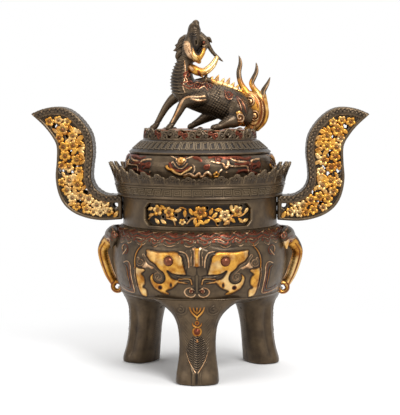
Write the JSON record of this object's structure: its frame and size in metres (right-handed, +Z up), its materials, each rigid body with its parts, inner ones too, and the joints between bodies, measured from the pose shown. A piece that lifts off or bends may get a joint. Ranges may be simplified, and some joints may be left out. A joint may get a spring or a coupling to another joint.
{
  "type": "incense burner",
  "caption": "Round-bellied bronze tripod incense burner with raised box handles, pierced neck windows, elephant heads with curled trunks and a lifting lid with a standing beast finial.",
  "frame": {"origin": "centre of the overall bounding box, on the ground plane under the three feet", "axes": "+Z up through the lid, +X towards the right handle, -Y towards the front mask and the front leg"},
  "size_m": [0.418, 0.23, 0.4331],
  "materials": {
    "bronze": "olive-brown patinated bronze, satin",
    "gilt": "worn gilding",
    "copper": "copper-red patina",
    "pale": "pale worn gilding"
  },
  "bodies": {
    "vessel": {"bowl": "bronze", "eye_boss_front_left": "copper", "eye_boss_front_right": "copper", "eye_boss_rear_left": "copper", "eye_boss_rear_right": "copper", "leg_front": "bronze", "leg_rear_left": "bronze", "leg_rear_right": "bronze", "leg_rivet_front": "bronze", "leg_rivet_rear_left": "bronze", "leg_rivet_rear_right": "bronze", "neck": "bronze", "window_panel_front": "gilt", "window_panel_rear": "gilt", "collar": "bronze", "crown": "bronze", "handle_frame_right": "bronze", "handle_frame_left": "bronze", "handle_panel_right_front": "gilt", "handle_panel_right_rear": "gilt", "handle_panel_left_front": "gilt", "handle_panel_left_rear": "gilt", "handle_rivet_right_lower": "bronze", "handle_rivet_right_upper": "bronze", "handle_rivet_left_lower": "bronze", "handle_rivet_left_upper": "bronze", "elephant_head_right": "copper", "elephant_head_left": "copper", "tusk_right_front": "pale", "tusk_left_front": "pale", "tusk_right_rear": "pale", "tusk_left_rear": "pale"},
    "lid": {"lid_shell": "bronze", "lid_locating_ring": "bronze", "cloud_ring": "copper", "beast_torso": "bronze", "beast_leg_front_near": "bronze", "beast_leg_front_far": "bronze", "beast_leg_hind_near": "bronze", "beast_leg_hind_far": "bronze", "hoof_rivet_front_near": "bronze", "hoof_rivet_front_far": "bronze", "hoof_rivet_hind_near": "bronze", "hoof_rivet_hind_far": "bronze", "beast_head": "bronze", "beast_lower_jaw": "gilt", "beast_horn": "bronze", "beast_mane_lock": "gilt", "beast_tail": "gilt", "tail_flame_1": "gilt", "tail_flame_2": "gilt", "tail_flame_3": "gilt", "dorsal_crest": "gilt"}
  },
  "joints": [
    {"name": "lid_lift", "type": "slide", "parent": "vessel", "child": "lid", "axis": [0, 0, 1], "range_m": [0, 0.2]}
  ]
}
